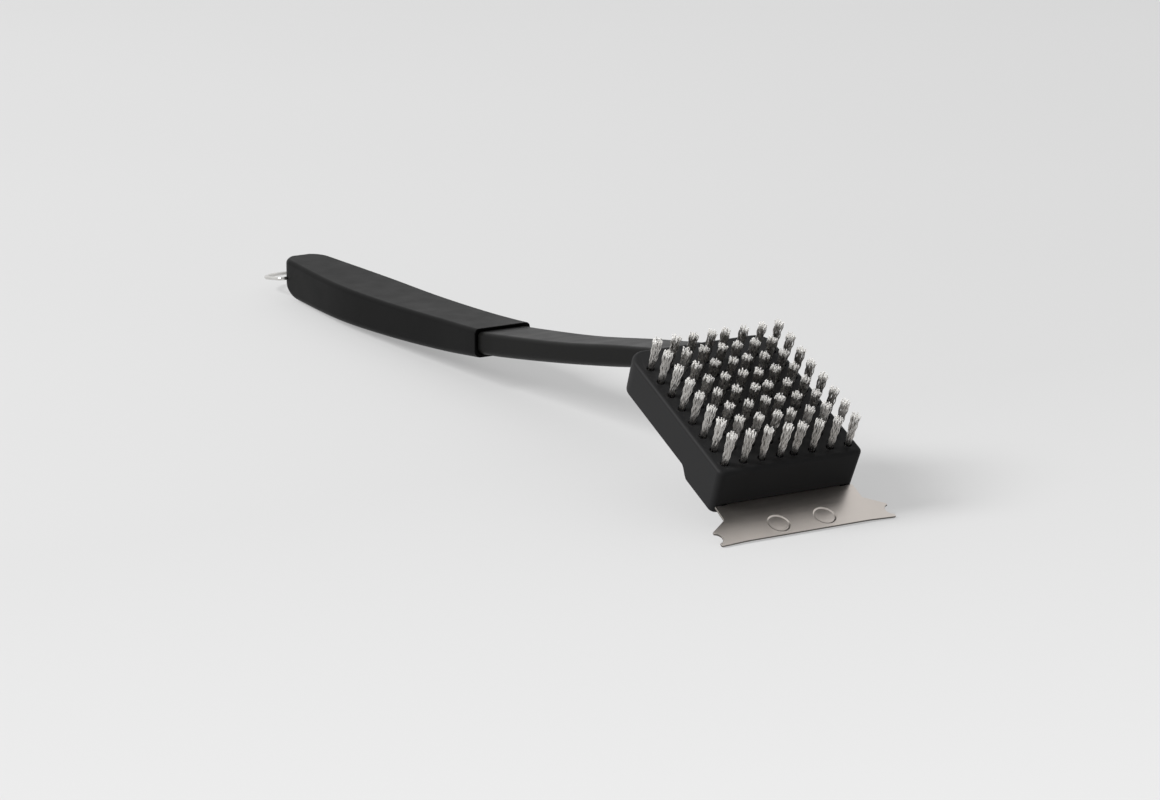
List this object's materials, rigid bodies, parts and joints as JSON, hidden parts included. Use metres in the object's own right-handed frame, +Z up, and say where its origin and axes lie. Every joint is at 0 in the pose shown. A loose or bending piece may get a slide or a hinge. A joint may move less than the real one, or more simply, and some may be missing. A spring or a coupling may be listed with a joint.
{
  "type": "grill cleaning brush",
  "caption": "Long-handled grill brush with steel wire tufts, a notched scraper blade, a curved overmoulded handle and a wire hanging loop.",
  "frame": {"origin": "on the ground under the middle of the brush as it lies on its back, bristles up, with the hanging loop trailing behind the handle", "axes": "+X along the brush towards the scraper, +Y across the brush, +Z up"},
  "size_m": [0.4902, 0.0832, 0.0686],
  "materials": {
    "head_plastic": "satin moulded black plastic with a fine texture",
    "arm_plastic": "satin moulded black plastic with a fine texture",
    "soft_grip": "matt soft-touch black",
    "satin_steel": "satin rolled sheet",
    "loop_wire": "drawn wire",
    "bristle_wire": "bright crimped wire with cut tips",
    "screw_steel": "plain machine finish"
  },
  "bodies": {
    "brush": {"brush_head": "head_plastic", "back_cover": "head_plastic", "handle_arm": "arm_plastic", "grip_sleeve": "soft_grip", "scraper_blade": "satin_steel", "cover_screw_left": "screw_steel", "cover_screw_right": "screw_steel", "scraper_screw_left": "screw_steel", "scraper_screw_right": "screw_steel", "arm_screw_left": "screw_steel", "arm_screw_right": "screw_steel", "tuft_row_1": "bristle_wire", "tuft_row_2": "bristle_wire", "tuft_row_3": "bristle_wire", "tuft_row_4": "bristle_wire", "tuft_row_5": "bristle_wire", "tuft_row_6": "bristle_wire", "tuft_row_7": "bristle_wire", "tuft_row_8": "bristle_wire"},
    "loop": {"hang_loop": "loop_wire"}
  },
  "joints": [
    {"name": "loop_swing", "type": "hinge", "parent": "brush", "child": "loop", "pos_m": [-0.21617, 0, 0.0102], "axis": [0, 1, 0], "range_deg": [-130, 150]}
  ]
}
